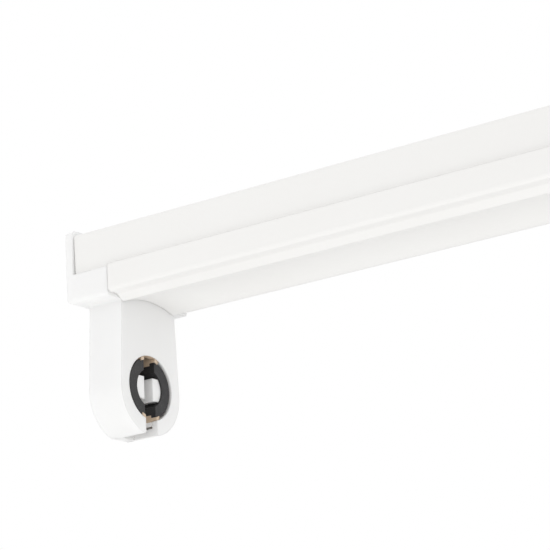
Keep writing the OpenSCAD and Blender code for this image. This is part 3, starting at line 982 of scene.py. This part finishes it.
@dataclass
class SubAssembly:
    """A group of pieces that come as one: its CAD nodes are dressed, and some are rebuilt."""

    wardrobe: Wardrobe

    def nodes(self) -> tuple[str, ...]:
        """The names of its CAD nodes."""
        return ()

    def rebuild(self) -> None:
        """Builds the pieces that stand for some of its nodes."""

    def replace(self, made: list[bpy.types.Object], node: str) -> None:
        """Joins the pieces of a node, finishes them and lets them stand for it.

        Args:
            made: The pieces.
            node: The CAD node that they replace.
        """
        piece = Workshop.join(made, node + "_turned")
        self.wardrobe.dress_piece(piece, self.wardrobe.slots[node])
        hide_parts(node)

    def build(self) -> None:
        """Dresses its nodes and rebuilds what needs it."""
        for name in self.nodes():
            self.wardrobe.dress_node(name)
        self.rebuild()


@dataclass
class Batten(SubAssembly):
    """The channel, its cover, and the clips and rivets between them."""

    rivet_head_r: float = 2.56 * MM
    rivet_head_h: float = 0.9 * MM
    rivet_r: float = 1.6 * MM
    rivet_tail_r: float = 2.24 * MM
    rivet_x: float = 140.0 * MM
    grip: float = 1.0 * MM

    def nodes(self) -> tuple[str, ...]:
        """The names of its CAD nodes."""
        return "base_channel", "cover", "cover_clip_left", "cover_clip_right", "clip_rivets"

    def rebuild(self) -> None:
        """Four blind rivets that hold the cover's clips."""
        low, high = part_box("clip_rivets")
        seat = high.z - self.rivet_head_h
        rivet = Rivet(
            self.rivet_head_r, self.rivet_head_h, self.rivet_r,
            self.rivet_tail_r, seat - low.z - self.grip, self.grip,
        )
        x, y = self.rivet_x, high.y - self.rivet_head_r
        made = [rivet.build((i * x, j * y, seat)) for i, j in CORNERS]
        self.replace(made, "clip_rivets")


@dataclass
class EndCap(SubAssembly):
    """One end cap with its lampholder."""

    end: End

    def nodes(self) -> tuple[str, ...]:
        """The names of its CAD nodes."""
        kinds = ("end_cap", "holder_back", "rotor", "rotor_carrier", "contact_near", "contact_far")
        return tuple("%s_%s" % (kind, self.end.value) for kind in kinds)


@dataclass
class CapScrews(SubAssembly):
    """The four screws that hold both end caps to the channel."""

    head_r: float = 2.755 * MM
    head_h: float = 0.9 * MM
    shank_r: float = 1.1 * MM

    def nodes(self) -> tuple[str, ...]:
        """The names of its CAD nodes."""
        return ("cap_screws",)

    def rebuild(self) -> None:
        """Thread-forming screws, one in each corner."""
        low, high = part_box("cap_screws")
        seat = high.z - self.head_h
        screw = Screw(self.head_r, self.head_h, self.shank_r, seat - low.z)
        x, y = high.x - self.head_r, high.y - self.head_r
        made = [screw.build((i * x, j * y, seat)) for i, j in CORNERS]
        self.replace(made, "cap_screws")


@dataclass
class Wiring(SubAssembly):
    """The terminal block, the wires, the earth point and the cable's grommet."""

    screw_head_r: float = 2.7 * MM
    screw_head_h: float = 0.9 * MM
    screw_r: float = 1.5 * MM
    screw_pitch: float = 0.7 * MM

    def nodes(self) -> tuple[str, ...]:
        """The names of its CAD nodes.

        Returns:
            The names.
        """
        return (
            "terminal_block", "terminal_clamps", "terminal_screws", "block_screw", "live_wire",
            "neutral_wire", "earth_wire", "earth_ring", "earth_screw", "cable_grommet",
        )

    def rebuild(self) -> None:
        """The machine screw that holds the terminal block."""
        low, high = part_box("block_screw")
        seat = high.z - self.screw_head_h
        length = seat - low.z
        screw = Screw(self.screw_head_r, self.screw_head_h, self.screw_r, length, self.screw_pitch)
        self.replace([screw.build((0.0, 0.0, seat))], "block_screw")


@dataclass(frozen=True)
class SoftLight:
    """A square soft light.

    Attributes:
        name: Its name.
        at: Its place.
        power: Its power in watts.
        size: Its side.
    """

    name: str
    at: Triple
    power: float
    size: float

    def build(self, aim: Triple) -> None:
        """Sets the light up.

        Args:
            aim: The point that it faces.
        """
        data = bpy.data.lights.new(self.name, "AREA")
        data.energy, data.size = self.power, self.size
        lamp = bpy.data.objects.new(self.name, data)
        lamp.location = self.at
        way = Vector(aim) - Vector(self.at)
        lamp.rotation_euler = way.to_track_quat("-Z", "Y").to_euler()
        bpy.context.scene.collection.objects.link(lamp)


@dataclass(frozen=True)
class Studio:
    """A pale floor far below the fixture, an even white surround and three soft lights.

    Attributes:
        floor_z: The floor's height. It is low, so that the fixture can be seen from below.
        floor_size: The floor's side.
        floor_shade: The colour of its darker patches.
        floor_colour: The colour of its paler patches.
        floor_patch: The size of the patches.
        floor_rough: Its roughness.
        surround: The strength of the white surround.
        near_end: The middle of the end that the photo shows, which the lights face.
        lights: The lights.
    """

    floor_z: float = -4.0
    floor_size: float = 92.0
    floor_shade: Colour = (0.66, 0.66, 0.655)
    floor_colour: Colour = (0.7, 0.7, 0.695)
    floor_patch: float = 0.3
    floor_rough: float = 0.7
    surround: float = 1.0
    near_end: Triple = (-0.25, 0.0, -0.03)
    lights: tuple[SoftLight, ...] = (
        SoftLight("front", (1.2, -0.5, -0.5), 1.9, 0.6),
        SoftLight("side", (-0.5, -0.55, -0.15), 0.23, 0.25),
        SoftLight("below", (-0.3, -0.25, -0.95), 2.9, 0.7),
    )

    def floor(self) -> None:
        """The floor, which isn't part of the fixture."""
        at = (0.0, 0.0, self.floor_z)
        bpy.ops.mesh.primitive_plane_add(size=self.floor_size, location=at)
        floor = bpy.context.object
        floor.name = "studio_floor"
        recipe = Recipe("studio_floor")
        shader = recipe.shader.inputs
        patches = recipe.noise(self.floor_patch)
        recipe.feed(shader["Base Color"], recipe.mix(patches, self.floor_shade, self.floor_colour))
        recipe.feed(shader["Roughness"], self.floor_rough)
        floor.data.materials.append(recipe.material)

    def sky(self) -> None:
        """The white surround."""
        world = bpy.data.worlds.new("studio")
        world.use_nodes = True
        back = world.node_tree.nodes["Background"].inputs
        back["Color"].default_value = (*EVEN, 1.0)
        back["Strength"].default_value = self.surround
        bpy.context.scene.world = world

    def build(self) -> None:
        """Sets up the studio."""
        self.floor()
        self.sky()
        for light in self.lights:
            light.build(self.near_end)
        bpy.context.scene.view_settings.view_transform = "Standard"
        log.info("the studio is set")


@dataclass(frozen=True)
class PhotoCamera:
    """The camera that takes the picture from the photo's place.

    Attributes:
        lens: Its focal length, in millimetres.
        sensor: The width of its sensor, in millimetres.
        near: How near it sees.
        far: How far it sees, which is as far as the floor reaches.
    """

    lens: float = 174.03
    sensor: float = 36.0
    near: float = 0.01
    far: float = 120.0

    def place(self) -> None:
        """Builds the camera and makes it the scene's own."""
        data = bpy.data.cameras.new("photo_camera")
        data.lens, data.sensor_width = self.lens, self.sensor
        data.clip_start, data.clip_end = self.near, self.far
        camera = bpy.data.objects.new("photo_camera", data)
        axes = Matrix((Axis.RIGHT.vector, -Axis.DOWN.vector, -Axis.FORWARD.vector))
        camera.matrix_world = Matrix.Translation(Axis.CENTRE.vector) @ axes.transposed().to_4x4()
        bpy.context.scene.collection.objects.link(camera)
        bpy.context.scene.camera = camera
        log.info("the camera stands at the photo's place")


def main() -> None:
    """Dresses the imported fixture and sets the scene."""
    logging.basicConfig(level=logging.INFO, format="%(name)s: %(message)s")
    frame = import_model()
    wardrobe = Wardrobe(frame)
    assemblies = [Batten(wardrobe), EndCap(wardrobe, End.LEFT), EndCap(wardrobe, End.RIGHT)]
    assemblies += [CapScrews(wardrobe), Wiring(wardrobe)]
    for assembly in assemblies:
        assembly.build()
    Studio().build()
    PhotoCamera().place()


if __name__ == "__main__":
    main()
